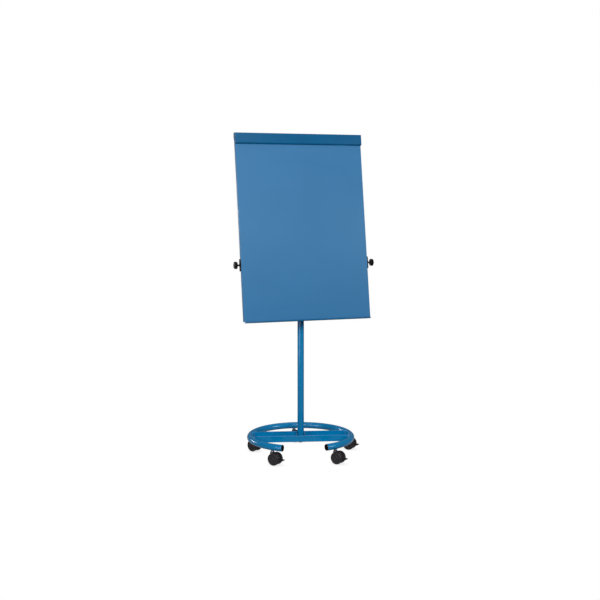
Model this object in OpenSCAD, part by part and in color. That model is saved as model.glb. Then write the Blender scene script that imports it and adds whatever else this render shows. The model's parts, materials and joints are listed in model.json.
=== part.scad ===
// Mobile flipchart easel: a leaning steel writing panel on a telescopic column and a round base
// with five braked twin-wheel casters. Millimetres, +Z up. The origin is on the floor on the
// column's axis, and the writing face looks towards -Y.

/* [Board] */
// Width of the writing panel over its side flanges
board_w = 700; // [680:5:720]
// Length of the panel, from the pen ledge's underside to the panel's top edge
board_h = 972; // [960:2:990]
// Depth of the panel's folded side flanges
flange_d = 19; // [19:0.5:24]
// Thickness of the panel's sheet
sheet_t = 1.2; // [1:0.1:1.4]
// How far the board leans back from upright
lean = 9.53; // [0:0.01:90]
// Height of the tilt axis up the board
tilt_h = 300.2; // [290:0.1:320]
// Depth of the tilt axis behind the writing face
tilt_d = 10.2; // [10:0.1:11]
// Height of the tilt axis above the floor, mast fully down
tilt_z = 1032.3; // [1025:0.1:1045]
// How far the tilt axis lies in front of the column's axis
tilt_y = 69.8; // [68:0.1:80]

/* [Clamp and pegs] */
// Length of the clamp bar over its end ears
clamp_w = 704; // [702:1:712]
// Height of the clamp bar's top above the board's lower edge
clamp_top = 990; // [985:0.5:992]
// Height of the roll's lowest line along the bar's foot
clamp_foot = 932.5; // [932:0.5:936]
// How far the bar's face stands in front of the writing face
clamp_face = 9.5; // [8:0.5:12]
// Distance between the two pad pegs
peg_gap = 440; // [300:10:560]
// Travel of a pad peg either way along its slot
peg_travel = 60; // [20:5:60]

/* [Column] */
// Outside diameter of the fixed column
column_d = 35; // [34:0.5:36]
// Height of the column's top above the floor
column_top = 880; // [860:5:885]
// Outside diameter of the sliding mast
mast_d = 30; // [30:0.5:30]
// Height of the mast's lower end, mast fully down
mast_foot = 390; // [380:5:500]
// Height of the mast's upper end, mast fully down
mast_top = 985; // [980:1:988]
// Wall of the column and the mast
tube_t = 1.5; // [1.2:0.1:1.5]

/* [Base] */
// Turn of the base about the column, seen from above
base_turn = -14.25; // [-180:0.25:180]
// Radius of the ring at its tube's centre
ring_r = 272.5; // [250:2.5:290]
// Outside diameter of the ring's tube
ring_tube_d = 35; // [34:0.5:36]
// Height of the ring tube's centre above the floor
ring_z = 92; // [90.5:0.5:94]
// Half of the angle left open at the ring's front
ring_gap = 25; // [20:1:28]
// Width of the crossbar channel
channel_w = 110; // [90:2:116]
// Height of the crossbar channel
channel_h = 35; // [32:0.5:38]

/* [Casters] */
// Radius of a wheel
wheel_r = 32.5; // [30:0.5:33]
// Width of one wheel
wheel_w = 15; // [14.5:0.5:16]
// Distance between the outer faces of a caster's two wheels
twin_w = 51; // [51:1:54]
// How far the axle trails behind the swivel axis
trail = 17.5; // [16:0.5:24]
// Places of the five casters round the ring, from its open front: each one -180 to 180
caster_at = [-37.2, 37, -108, 106.5, -176.5];
// Directions in which the five casters trail, from the base's +X: each one -180 to 180
caster_heading = [-36, -38, -45, -31, -39];

/* [Knobs] */
// Diameter of a tilt knob's grip
knob_d = 39.5; // [30:0.5:40]
// Length of a tilt knob's grip
knob_l = 16.5; // [14:0.5:24]

/* [Hidden] */
$fn = 96;
CASTERS = ["caster_fl", "caster_fr", "caster_left", "caster_right", "caster_rear"];
CASTER_PARTS = ["hood", "axle", "wheel_left", "wheel_right", "brake_lever"];

PAINT = [0.07, 0.42, 0.64];
PANEL = [0.27, 0.49, 0.66];
PANEL_DARK = [0.12, 0.37, 0.55];
PLASTIC = [0.09, 0.09, 0.10];
RUBBER = [0.06, 0.06, 0.06];
STEEL = [0.70, 0.71, 0.73];
NYLON = [0.85, 0.85, 0.82];

// Running clearance of a pin in its bore, and the small gap left between welded or pressed parts
run_gap = 0.05;
weld_gap = 0.01;
eps = 0.5;

// Ring and crossbar
ring_tube_t = 2;
channel_t = 2.5;
channel_z = ring_z - ring_tube_d / 2;
channel_bend = 4;
channel_reach = ring_r - 10.5;
floor_z = channel_z + channel_t;
plate_x = 20;
plate_t = 3;
bolt_r = 6;
plug_h = 28;

// Column head
collar_z = 832;
collar_h = 56;
collar_r = 24;
clamp_z = 860;
boss_r = 11;
boss_end = 36;
height_stud_r = 5;
shoe_end = 20;
bush_flange_t = 3;

// Mast and tilt head
head_plate_t = 4;
cross_r = 8;
cross_t = 2;
cross_half = board_w / 2 - sheet_t - 2.3;
stud_r = 3;
insert_l = 25;
insert_flange_t = 1.5;

// Board
lip_w = 10;
lip_notch = 14;
fold_r = 2;
ledge_h = 8;
ledge_w = 694;
ledge_reach = 12;
set_back = 3;
set_back_z = 931.5;
hat_x = 180;
hat_w = 46;
hat_brim = 14;
hat_d = 16;
pad_gap = 1.5;
pad_t = 4.5;
pad_l = 64;
pad_w = 16;
washer_t = 1.4;

// Clamp bar: its hinge, its sheet and its bends
hinge_z = 965;
hinge_d = 10.5;
hinge_r = 3;
bar_t = 1.5;
bar_back = 19;
roll_r = 9;
bend_r = 4;
ear_gap = 0.7;
peg_z = 955;
peg_r = 3;

// Casters
axle_r = 3;
bore_l = 12;
hood_half = 10;
hood_r = 34;
neck_top_r = 9;
slot_x = 14.5;
slot_w = 7;
neck_z = 60;
stem_r = 4;
shank_r = 5;
socket_r = 8;
flange_top = ring_z - ring_tube_d / 2 - 1.5;
hood_top = flange_top - 2.5;
lever_pin = [23, 6];
lever_pin_r = 1.5;

// ---- Helpers ----

// Points along an arc, from one angle to another
function arc(centre, r, from, to, steps = 12) =
  [for (i = [0:steps]) let (a = from + (to - from) * i / steps) centre + r * [cos(a), sin(a)]];

// The base's own frame, turned about the column
module on_base() {
  rotate([0, 0, base_turn])
    children();
}

// The board's own frame: X across, Y from the writing face backwards, Z up the board
module on_board() {
  translate([0, -tilt_y, tilt_z])
    rotate([-lean, 0, 0])
      translate([0, -tilt_d, -tilt_h])
        children();
}

// One caster's frame: Z is its swivel axis, and its wheels trail along +X
module at_caster(i) {
  on_base()
    rotate([0, 0, caster_at[i]])
      translate([0, -ring_r, 0])
        rotate([0, 0, caster_heading[i] - caster_at[i]])
          children();
}

// A flat outline in Y and Z, drawn out along X about the middle
module along_x(length) {
  rotate([90, 0, 90])
    translate([0, 0, -length / 2])
      linear_extrude(length)
        children();
}

// A round tube standing on z = 0
module tube(r, wall, h) {
  difference() {
    cylinder(r = r, h = h);
    translate([0, 0, -eps])
      cylinder(r = r - wall, h = h + 2 * eps);
  }
}

// A rod along X, from x0 to x1
module rod_x(r, x0, x1) {
  translate([x0, 0, 0])
    rotate([0, 90, 0])
      cylinder(r = r, h = x1 - x0);
}

// A rod along Y, from y0 to y1
module rod_y(r, y0, y1) {
  translate([0, y0, 0])
    rotate([-90, 0, 0])
      cylinder(r = r, h = y1 - y0);
}

// A flat shape of width w and depth d whose two corners on y = 0 are rounded
module round_front(w, d, r) {
  translate([-w / 2, r])
    square([w, d - r]);
  translate([-w / 2 + r, 0])
    square([w - 2 * r, d]);
  for (s = [-1, 1])
    translate([s * (w / 2 - r), r])
      circle(r);
}

// The same part on the left and on the right
module both_sides() {
  children();
  mirror([1, 0, 0])
    children();
}

// ---- Base ----

module ring_section(d, angle) {
  rotate_extrude(angle = angle, $fn = 180)
    translate([ring_r, 0])
      circle(d = d, $fn = 48);
}

module base_ring() {
  color(PAINT)
    on_base()
      difference() {
        translate([0, 0, ring_z])
          rotate([0, 0, ring_gap - 90])
            rotate_extrude(angle = 360 - 2 * ring_gap, $fn = 180)
              translate([ring_r, 0])
                difference() {
                  circle(d = ring_tube_d, $fn = 48);
                  circle(d = ring_tube_d - 2 * ring_tube_t, $fn = 48);
                }
        for (a = caster_at)
          rotate([0, 0, a])
            translate([0, -ring_r, ring_z - ring_tube_d / 2 - eps])
              cylinder(r = socket_r + weld_gap, h = 10);
      }
}

// One plug: a barrel inside the tube, a head over its end and a thin bevelled edge
module ring_plug() {
  barrel_turn = 4;
  head_turn = 0.6;
  edge_turn = 0.25;
  overlap = 0.1;
  translate([0, 0, ring_z])
    rotate([0, 0, ring_gap - 90]) {
      rotate([0, 0, -overlap])
        ring_section(ring_tube_d - 2 * ring_tube_t - 2 * weld_gap, barrel_turn);
      rotate([0, 0, -head_turn])
        ring_section(ring_tube_d - 0.4, head_turn);
      rotate([0, 0, -head_turn - edge_turn])
        ring_section(ring_tube_d - 3, edge_turn + overlap);
    }
}

module ring_end_plugs() {
  color(PLASTIC)
    on_base()
      both_sides()
        ring_plug();
}

module base_channel() {
  color(PAINT)
    on_base()
      difference() {
        intersection() {
          translate([0, 0, channel_z])
            along_x(2 * ring_r)
              difference() {
                round_front(channel_w, channel_h, channel_bend);
                translate([0, channel_t])
                  round_front(channel_w - 2 * channel_t, channel_h, channel_bend - channel_t);
              }
          cylinder(r = channel_reach, h = 2 * ring_z);
        }
        translate([0, 0, ring_z])
          ring_section(ring_tube_d + 2 * weld_gap, 360);
        translate([0, 0, channel_z - eps])
          cylinder(r = bolt_r + 0.5, h = channel_t + 2 * eps);
      }
}

module socket_plates() {
  plate_w = channel_w - 2 * channel_t - 2 * weld_gap;
  color(PAINT)
    on_base()
      both_sides()
        translate([plate_x, 0, floor_z])
          rotate([90, 0, 90])
            linear_extrude(plate_t)
              round_front(plate_w, channel_h - channel_t - 2, channel_bend - channel_t);
}

module column_tube() {
  color(PAINT)
    on_base()
      difference() {
        translate([0, 0, floor_z])
          tube(column_d / 2, tube_t, column_top - floor_z);
        translate([0, 0, clamp_z])
          rod_y(height_stud_r + 0.2, 5, column_d);
      }
}

module column_foot_plug() {
  color(STEEL)
    on_base()
      translate([0, 0, floor_z])
        difference() {
          cylinder(r = column_d / 2 - tube_t - weld_gap, h = plug_h);
          translate([0, 0, -eps])
            cylinder(r = bolt_r + weld_gap, h = plug_h - 2);
        }
}

// The bolt that pulls the column down: washer, hexagon, domed head and shank
module column_bolt() {
  washer_h = 2.5;
  hex_h = 8;
  dome_h = 4;
  color(STEEL)
    on_base() {
      translate([0, 0, channel_z - washer_h])
        tube(15, 15 - bolt_r - weld_gap, washer_h);
      translate([0, 0, channel_z - washer_h - hex_h])
        cylinder(r = 13, h = hex_h, $fn = 6);
      translate([0, 0, channel_z - washer_h - hex_h - dome_h])
        cylinder(r1 = 7, r2 = 11, h = dome_h);
      translate([0, 0, channel_z - washer_h - eps])
        cylinder(r = bolt_r, h = plug_h);
    }
}

// ---- Caster fixings ----

module caster_sockets() {
  color(PAINT)
    for (i = [0:4])
      at_caster(i)
        translate([0, 0, flange_top])
          tube(socket_r, socket_r - shank_r - weld_gap, 27.5);
}

module caster_stems() {
  color(STEEL)
    for (i = [0:4])
      at_caster(i) {
        translate([0, 0, 46])
          cylinder(r = stem_r, h = 30);
        translate([0, 0, hood_top + 0.3])
          cylinder(r = socket_r, h = flange_top - hood_top - 0.3);
        translate([0, 0, flange_top - eps])
          cylinder(r = shank_r, h = 25);
      }
}

// ---- Casters ----

module caster_hood() {
  color(PLASTIC)
    difference() {
      union() {
        intersection() {
          translate([trail, 0, wheel_r])
            rod_y(hood_r, -hood_half, hood_half);
          translate([-20, -hood_half, 15])
            cube([80, 2 * hood_half, 60]);
        }
        translate([-9, -hood_half, 38])
          cube([18, 2 * hood_half, neck_z - 38]);
        translate([0, 0, neck_z - 0.5])
          cylinder(r1 = hood_half, r2 = neck_top_r, h = hood_top - neck_z + 0.5);
      }
      translate([0, 0, 44])
        cylinder(r = stem_r + run_gap, h = 40);
      translate([trail, 0, wheel_r])
        rod_y(axle_r + weld_gap, -20, 20);
      translate([trail + slot_x, -slot_w / 2, 18])
        cube([30, slot_w, 60]);
      translate([trail + lever_pin[0], 0, wheel_r + lever_pin[1]])
        rod_y(lever_pin_r + run_gap, -20, 20);
    }
}

module caster_axle() {
  color(STEEL)
    translate([trail, 0, wheel_r])
      rod_y(axle_r, 0.2 - twin_w / 2 + wheel_w - bore_l, twin_w / 2 - wheel_w + bore_l - 0.2);
}

// Half section of a wheel: x is the radius and y runs from the inner face to the outer face
module wheel_section() {
  edge = 2.5;
  difference() {
    union() {
      square([wheel_r - edge, wheel_w]);
      translate([0, edge])
        square([wheel_r, wheel_w - 2 * edge]);
      for (y = [edge, wheel_w - edge])
        translate([wheel_r - edge, y])
          circle(edge);
    }
    translate([-eps, -eps])
      square([axle_r + run_gap + eps, bore_l + eps]);
    translate([11, wheel_w - 1])
      square([12.5, 2]);
    translate([9, -1])
      square([15, 4]);
  }
}

module caster_wheel(side) {
  color(PLASTIC)
    translate([trail, side * (twin_w / 2 - wheel_w), wheel_r])
      rotate([-side * 90, 0, 0])
        rotate_extrude()
          wheel_section();
}

// Side view of the brake lever about the axle: a hooked tongue that ends in a pedal
module lever_outline() {
  polygon([[17, 7.5], [17, 3.5], [27, 2], [34, -3], [50, -6], [52, -4], [41, 1], [30, 8], [23, 9.6]]);
}

// A slice of the lever from x0 to x1, w wide
module lever_slice(x0, x1, w) {
  intersection() {
    rotate([90, 0, 0])
      translate([0, 0, -w / 2])
        linear_extrude(w)
          lever_outline();
    translate([x0, -w, -20])
      cube([x1 - x0, 2 * w, 40]);
  }
}

module caster_brake_lever() {
  color(PLASTIC)
    translate([trail, 0, wheel_r]) {
      lever_slice(10, 55, slot_w - 0.6);
      lever_slice(37, 55, 15);
      lever_slice(39.5, 55, 28);
      translate([lever_pin[0], 0, lever_pin[1]])
        rod_y(lever_pin_r, -7, 7);
    }
}

module caster_part(i, part) {
  at_caster(i) {
    if (part == "hood") caster_hood();
    if (part == "axle") caster_axle();
    if (part == "wheel_left") caster_wheel(1);
    if (part == "wheel_right") caster_wheel(-1);
    if (part == "brake_lever") caster_brake_lever();
  }
}

// ---- Height clamp ----

module height_collar() {
  bevel = 3;
  color(PLASTIC)
    on_base()
      difference() {
        union() {
          translate([0, 0, collar_z])
            cylinder(r1 = collar_r - bevel, r2 = collar_r, h = bevel);
          translate([0, 0, collar_z + bevel])
            cylinder(r = collar_r, h = collar_h - 2 * bevel);
          translate([0, 0, collar_z + collar_h - bevel])
            cylinder(r1 = collar_r, r2 = collar_r - bevel, h = bevel);
          translate([0, 0, clamp_z])
            rod_y(boss_r, column_d / 2 + 2, boss_end);
        }
        translate([0, 0, collar_z - eps])
          cylinder(r = column_d / 2 + weld_gap, h = column_top + bush_flange_t - collar_z + eps + 0.02);
        translate([0, 0, collar_z])
          cylinder(r = mast_d / 2 + 0.4, h = collar_h + eps);
        translate([0, 0, clamp_z])
          rod_y(height_stud_r + run_gap, 5, boss_end + eps);
      }
}

module collar_guide_bush() {
  inner_r = mast_d / 2 + 0.06;
  color(NYLON)
    on_base()
      difference() {
        union() {
          translate([0, 0, collar_z])
            tube(column_d / 2 - tube_t - weld_gap, column_d / 2 - tube_t - weld_gap - inner_r,
              column_top - collar_z + eps);
          translate([0, 0, column_top])
            tube(column_d / 2 - weld_gap, column_d / 2 - weld_gap - inner_r, bush_flange_t);
        }
        translate([0, 0, clamp_z])
          rod_y(height_stud_r + 0.2, 5, column_d);
      }
}

module height_brake_shoe() {
  color(NYLON)
    on_base()
      difference() {
        translate([0, 0, clamp_z])
          rod_y(height_stud_r, 12, shoe_end);
        translate([0, 0, clamp_z - 20])
          cylinder(r = mast_d / 2 + 0.1, h = 40);
      }
}

// A fluted grip along +Z: a slim ferrule, a cone, the grip itself and a blind bore for its stud
module grip(d, l, ferrule_l, neck_l, neck_r, bore_r, flutes) {
  edge = 3;
  difference() {
    union() {
      cylinder(r = bore_r + 1.1, h = ferrule_l + eps);
      translate([0, 0, ferrule_l])
        cylinder(r1 = bore_r + 2, r2 = neck_r, h = neck_l - ferrule_l + eps);
      translate([0, 0, neck_l])
        cylinder(r1 = d / 2 - edge, r2 = d / 2, h = edge);
      translate([0, 0, neck_l + edge])
        cylinder(d = d, h = l - 2 * edge);
      translate([0, 0, neck_l + l - edge])
        cylinder(r1 = d / 2, r2 = d / 2 - edge, h = edge);
    }
    for (k = [0:flutes - 1])
      rotate([0, 0, (k + 0.5) * 360 / flutes])
        translate([d / 2 + 2.5, 0, neck_l - eps])
          cylinder(r = 4.5, h = l + 2 * eps);
    translate([0, 0, -eps])
      cylinder(r = bore_r + weld_gap, h = neck_l + l - 4 + eps);
  }
}

height_knob_y = boss_end + 0.4;
height_knob_l = 14;

module height_knob() {
  color(PLASTIC)
    on_base()
      translate([0, height_knob_y, clamp_z])
        rotate([-90, 0, 0])
          grip(42, height_knob_l, 0.5, 3, 12, height_stud_r, 7);
}

module height_stud() {
  color(STEEL)
    on_base()
      translate([0, 0, clamp_z])
        rod_y(height_stud_r, shoe_end + 0.2, height_knob_y + 3 + height_knob_l - 4.2);
}

// ---- Mast ----

module mast_foot_bush() {
  skirt_h = 20;
  color(NYLON) {
    translate([0, 0, mast_foot - skirt_h])
      cylinder(r = column_d / 2 - tube_t - 0.06, h = skirt_h - 0.2);
    translate([0, 0, mast_foot - eps])
      cylinder(r = mast_d / 2 - tube_t - run_gap, h = 32);
  }
}

module mast_tube() {
  color(PAINT)
    translate([0, 0, mast_foot])
      tube(mast_d / 2, tube_t, mast_top - mast_foot);
}

// Two side plates that carry the tilt tube in front of the mast
module mast_head_plates() {
  color(PAINT)
    both_sides()
      translate([mast_d / 2 + weld_gap, 0, 0])
        rotate([90, 0, 90])
          linear_extrude(head_plate_t)
            difference() {
              polygon([
                [-tilt_y, tilt_z + cross_r], [12, mast_top + 5], [12, mast_top - 55],
                [-18, mast_top - 55], [-tilt_y - cross_r, tilt_z], [-tilt_y, tilt_z]
              ]);
              translate([-tilt_y, tilt_z])
                circle(cross_r + weld_gap);
            }
}

module mast_top_cap() {
  color(PLASTIC) {
    translate([0, 0, mast_top - 17])
      cylinder(r = mast_d / 2 - tube_t - weld_gap, h = 18);
    translate([0, 0, mast_top])
      cylinder(r = mast_d / 2 - 0.2, h = 2.5);
    translate([0, 0, mast_top + 2.5])
      cylinder(r1 = mast_d / 2 - 0.2, r2 = mast_d / 2 - 3, h = 1.5);
  }
}

module cross_tube() {
  color(PAINT)
    translate([0, -tilt_y, tilt_z])
      difference() {
        rod_x(cross_r, -cross_half, cross_half);
        rod_x(cross_r - cross_t, -cross_half - eps, cross_half + eps);
      }
}

module cross_tube_inserts() {
  color(STEEL)
    translate([0, -tilt_y, tilt_z])
      both_sides()
        difference() {
          union() {
            rod_x(cross_r - cross_t - weld_gap, cross_half - insert_l, cross_half + eps);
            rod_x(cross_r, cross_half, cross_half + insert_flange_t);
          }
          rod_x(stud_r + run_gap, cross_half - insert_l - eps, cross_half + 5);
        }
}

// ---- Board ----

// Open-backed tray section: the face on y = 0, two side flanges and a return lip on each
module tray_section() {
  difference() {
    round_front(board_w, flange_d, fold_r);
    translate([0, sheet_t])
      round_front(board_w - 2 * sheet_t, flange_d - 2 * sheet_t, fold_r - sheet_t);
    translate([-board_w / 2 + lip_w, flange_d - 2 * sheet_t])
      square([board_w - 2 * lip_w, 3 * sheet_t]);
  }
}

// The same section under the clamp bar, where the face is set back to take the pad's head
module set_back_section() {
  for (s = [-1, 1])
    translate([s * (board_w / 2 - sheet_t / 2) - sheet_t / 2, 0])
      square([sheet_t, flange_d]);
  for (s = [-1, 1])
    translate([s > 0 ? board_w / 2 - lip_w : -board_w / 2, flange_d - sheet_t])
      square([lip_w, sheet_t]);
  translate([-board_w / 2, set_back])
    square([board_w, sheet_t]);
}

// A slot with round ends through the set-back face, for one pad peg
module peg_slot() {
  translate([0, 0, peg_z]) {
    translate([-peg_travel, -5, -peg_r - 0.1])
      cube([2 * peg_travel, 20, 2 * peg_r + 0.2]);
    for (s = [-1, 1])
      translate([s * peg_travel, 0, 0])
        rod_y(peg_r + 0.1, -5, 15);
  }
}

module writing_panel() {
  color(PANEL)
    on_board()
      difference() {
        union() {
          translate([0, 0, ledge_h])
            linear_extrude(set_back_z - ledge_h)
              tray_section();
          translate([0, 0, set_back_z - eps])
            linear_extrude(board_h - set_back_z + eps)
              set_back_section();
          translate([-board_w / 2 + sheet_t / 2, sheet_t / 2, set_back_z - sheet_t])
            cube([board_w - sheet_t, set_back + sheet_t / 2, sheet_t]);
          translate([-board_w / 2 + sheet_t / 2, sheet_t / 2, ledge_h])
            cube([board_w - sheet_t, flange_d - sheet_t / 2, sheet_t]);
          translate([-board_w / 2 + sheet_t / 2, set_back, board_h - sheet_t])
            cube([board_w - sheet_t, flange_d - set_back, sheet_t]);
        }
        for (s = [-1, 1])
          translate([s * peg_gap / 2, 0, 0])
            peg_slot();
        translate([0, tilt_d, tilt_h])
          both_sides()
            rod_x(stud_r + 0.5, board_w / 2 - 5, board_w / 2 + 5);
        translate([0, hinge_d, hinge_z])
          both_sides()
            rod_x(hinge_r + weld_gap, board_w / 2 - 5, board_w / 2 + 5);
        both_sides()
          translate([board_w / 2 - lip_w - eps, flange_d - sheet_t - eps, tilt_h - lip_notch])
            cube([lip_w + eps - sheet_t, sheet_t + 2 * eps, 2 * lip_notch]);
      }
}

// One length of hat-section stiffener, spot-welded to the back of the face
module hat(z0, z1) {
  translate([0, sheet_t, z0])
    linear_extrude(z1 - z0)
      difference() {
        union() {
          translate([-hat_w / 2 - hat_brim, 0])
            square([hat_w + 2 * hat_brim, sheet_t]);
          translate([-hat_w / 2, 0])
            square([hat_w, hat_d]);
        }
        translate([-hat_w / 2 + sheet_t, -eps])
          square([hat_w - 2 * sheet_t, hat_d - sheet_t + eps]);
      }
}

module back_stiffeners() {
  color(PANEL)
    on_board()
      both_sides()
        translate([hat_x, 0, 0]) {
          hat(20, tilt_h - 26);
          hat(tilt_h + 26, set_back_z - 4);
        }
}

// Folded ledge under the panel: a rounded nose, open at the back
module pen_ledge() {
  nose_r = ledge_h / 2;
  back = flange_d - 1;
  color(PANEL_DARK)
    on_board()
      along_x(ledge_w)
        difference() {
          union() {
            translate([-ledge_reach + nose_r, 0])
              square([ledge_reach - nose_r + back, ledge_h - weld_gap]);
            translate([-ledge_reach + nose_r, nose_r])
              circle(nose_r);
          }
          translate([-ledge_reach + nose_r, sheet_t])
            square([ledge_reach + back, ledge_h - 2 * sheet_t]);
          translate([-ledge_reach + nose_r, nose_r])
            circle(nose_r - sheet_t);
        }
}

// A long round-ended pad on each flange, held off by a short boss
module side_pads() {
  color(PLASTIC)
    on_board()
      translate([0, tilt_d, tilt_h])
        both_sides()
          difference() {
            union() {
              rod_x(7, board_w / 2, board_w / 2 + pad_gap + eps);
              translate([board_w / 2 + pad_gap, 0, 0]) {
                translate([0, -pad_w / 2, -pad_l / 2 + pad_w / 2])
                  cube([pad_t, pad_w, pad_l - pad_w]);
                for (s = [-1, 1])
                  translate([0, 0, s * (pad_l - pad_w) / 2])
                    rod_x(pad_w / 2, 0, pad_t);
              }
            }
            rod_x(stud_r + 0.5, board_w / 2 - 5, board_w / 2 + 20);
          }
}

pad_face = board_w / 2 + pad_gap + pad_t;

module friction_washers() {
  color(RUBBER)
    on_board()
      translate([0, tilt_d, tilt_h])
        both_sides()
          difference() {
            rod_x(9, pad_face, pad_face + washer_t);
            rod_x(stud_r + 0.3, pad_face - eps, pad_face + 5);
          }
}

knob_x = pad_face + washer_t + 0.2;
neck_l = 12;

module tilt_knob() {
  color(PLASTIC)
    translate([knob_x, -tilt_y, tilt_z])
      rotate([0, 90, 0])
        grip(knob_d, knob_l, 4.5, neck_l, 8, stud_r, 6);
}

module tilt_stud() {
  color(STEEL)
    translate([0, -tilt_y, tilt_z])
      rod_x(stud_r, cross_half - insert_l + 3, knob_x + neck_l + knob_l - 4.2);
}

// ---- Clamp bar and pegs ----

bar_y = -clamp_face;
roll_centre = [bar_y + roll_r, clamp_foot + roll_r];
bend_centre = [bar_y + bend_r, clamp_top - bend_r];

// The bar's outer line from the roll's foot to the top bend, or a line inside it by the inset
function bar_line(inset) =
  concat(arc(roll_centre, roll_r - inset, 270, 180), arc(bend_centre, bend_r - inset, 180, 90));

function reversed(list) = [for (i = [len(list) - 1:-1:0]) list[i]];

module clamp_bar() {
  ear_w = clamp_w / 2 - board_w / 2 - ear_gap;
  color(PANEL_DARK)
    on_board()
      difference() {
        union() {
          along_x(clamp_w - 2 * ear_w + eps)
            polygon(concat(
              bar_line(0), [[bar_back, clamp_top], [bar_back, clamp_top - bar_t]], reversed(bar_line(bar_t))
            ));
          both_sides()
            translate([clamp_w / 2 - ear_w / 2, 0, 0])
              along_x(ear_w)
                polygon(concat(
                  bar_line(0), [[bar_back - 2, clamp_top], [bar_back - 2, 957], [bar_back - 8, 952], [2, 948]]
                ));
        }
        translate([0, hinge_d, hinge_z])
          rod_x(hinge_r + run_gap, -clamp_w, clamp_w);
      }
}

module clamp_grip_strip() {
  lip_y = roll_centre[0];
  color(RUBBER)
    on_board()
      along_x(clamp_w - 16)
        polygon([
          [lip_y, clamp_foot], [set_back - 0.15, clamp_foot + 0.5], [set_back - 0.15, clamp_foot + 5.5],
          [lip_y - 2.5, clamp_foot + 5.5], [lip_y - 2.5, clamp_foot + 2.4], [lip_y, clamp_foot + bar_t + 0.2]
        ]);
}

module clamp_pivot_pins() {
  color(STEEL)
    on_board()
      translate([0, hinge_d, hinge_z])
        both_sides() {
          rod_x(hinge_r, board_w / 2 - 14, clamp_w / 2 + 1);
          rod_x(5, board_w / 2, board_w / 2 + ear_gap - 0.1);
          rod_x(4.5, clamp_w / 2 + 0.1, clamp_w / 2 + 3.5);
        }
}

// Close-wound torsion springs on the pins, as one turned profile each
module clamp_springs() {
  wire_r = 0.8;
  coil_r = 4.1;
  pitch = 1.5;
  color(STEEL)
    on_board()
      translate([0, hinge_d, hinge_z])
        both_sides()
          translate([board_w / 2 - 12, 0, 0])
            rotate([0, 90, 0])
              rotate_extrude()
                for (k = [0:5])
                  translate([coil_r, wire_r + k * pitch])
                    circle(wire_r, $fn = 24);
}

// A peg in its slot: pin and collar in front of the face, shank through it, nut behind
module pad_peg(x) {
  color(STEEL)
    on_board()
      translate([x, 0, peg_z]) {
        rod_y(3.5, -4.5, set_back - 1);
        rod_y(6, set_back - 1.6, set_back - 0.1);
        rod_y(peg_r, set_back - 1, set_back + sheet_t + 3);
        rod_y(6, set_back + sheet_t + 0.1, set_back + sheet_t + 3);
      }
}

// ---- Nodes ----

base_ring();
ring_end_plugs();
base_channel();
socket_plates();
column_tube();
column_foot_plug();
column_bolt();
caster_sockets();
caster_stems();
height_collar();
collar_guide_bush();
height_brake_shoe();
height_knob();
height_stud();
mast_foot_bush();
mast_tube();
mast_head_plates();
mast_top_cap();
cross_tube();
cross_tube_inserts();
writing_panel();
back_stiffeners();
pen_ledge();
side_pads();
friction_washers();
clamp_pivot_pins();
clamp_springs();
clamp_bar();
clamp_grip_strip();
pad_peg(-peg_gap / 2);  // pad_peg_left
pad_peg(peg_gap / 2);  // pad_peg_right
mirror([1, 0, 0]) tilt_knob();  // tilt_knob_left
mirror([1, 0, 0]) tilt_stud();  // tilt_stud_left
tilt_knob();  // tilt_knob_right
tilt_stud();  // tilt_stud_right
for (i = [0:4])
  for (part = CASTER_PARTS)
    caster_part(i, part);
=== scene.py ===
import json
import math

import bmesh
import bpy
from mathutils import Matrix, Vector


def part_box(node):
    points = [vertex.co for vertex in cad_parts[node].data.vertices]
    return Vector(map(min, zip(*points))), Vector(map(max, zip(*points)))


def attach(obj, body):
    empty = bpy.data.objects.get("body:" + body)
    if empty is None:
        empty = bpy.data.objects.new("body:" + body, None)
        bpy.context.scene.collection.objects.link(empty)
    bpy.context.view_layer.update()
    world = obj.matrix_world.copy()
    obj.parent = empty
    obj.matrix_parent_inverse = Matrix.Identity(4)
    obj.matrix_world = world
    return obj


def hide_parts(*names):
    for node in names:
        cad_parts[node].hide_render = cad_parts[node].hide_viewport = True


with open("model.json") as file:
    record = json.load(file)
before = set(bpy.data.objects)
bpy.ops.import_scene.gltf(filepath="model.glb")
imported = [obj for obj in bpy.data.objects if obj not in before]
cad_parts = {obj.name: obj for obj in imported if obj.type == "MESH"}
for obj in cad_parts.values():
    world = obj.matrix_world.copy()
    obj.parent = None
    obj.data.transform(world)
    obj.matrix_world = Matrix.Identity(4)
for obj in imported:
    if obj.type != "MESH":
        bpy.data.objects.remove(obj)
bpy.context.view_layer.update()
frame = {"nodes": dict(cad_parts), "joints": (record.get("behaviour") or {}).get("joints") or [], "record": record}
scene = bpy.context.scene
joints = {j["name"]: j for j in frame["joints"]}
MM = 0.001


# ---------------------------------------------------------------- materials

# Depth of the paint's orange peel and of every other finish's grain, and width of the paler edges, in metres
PEEL_DEPTH = 0.0003
GRAIN_DEPTH = 0.0002
# On paint, the paler edges are partly wear and partly a painted highlight along rounded edges
PAINT_WEAR_AND_HIGHLIGHT_WIDTH = 0.004
PLASTIC_SCUFF_WIDTH = 0.0008
# As a 0-255 display colour
DUST_COLOUR = (196, 200, 204)


def srgb(red, green, blue):
    """A 0-255 display colour as the linear colour that shader nodes take."""
    def linear(value):
        v = value / 255
        return v / 12.92 if v <= 0.04045 else ((v + 0.055) / 1.055) ** 2.4
    return (linear(red), linear(green), linear(blue), 1)


def tint(colour, gain, lift=0.0):
    """The colour with its three channels scaled and raised, but not past 1."""
    return tuple(min(1, gain * channel + lift) for channel in colour[:3]) + (1,)


def feed(tree, socket, value):
    """Gives a node's input a value, or links it to another node's output."""
    if isinstance(value, bpy.types.NodeSocket):
        tree.links.new(value, socket)
    else:
        socket.default_value = value


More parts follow.
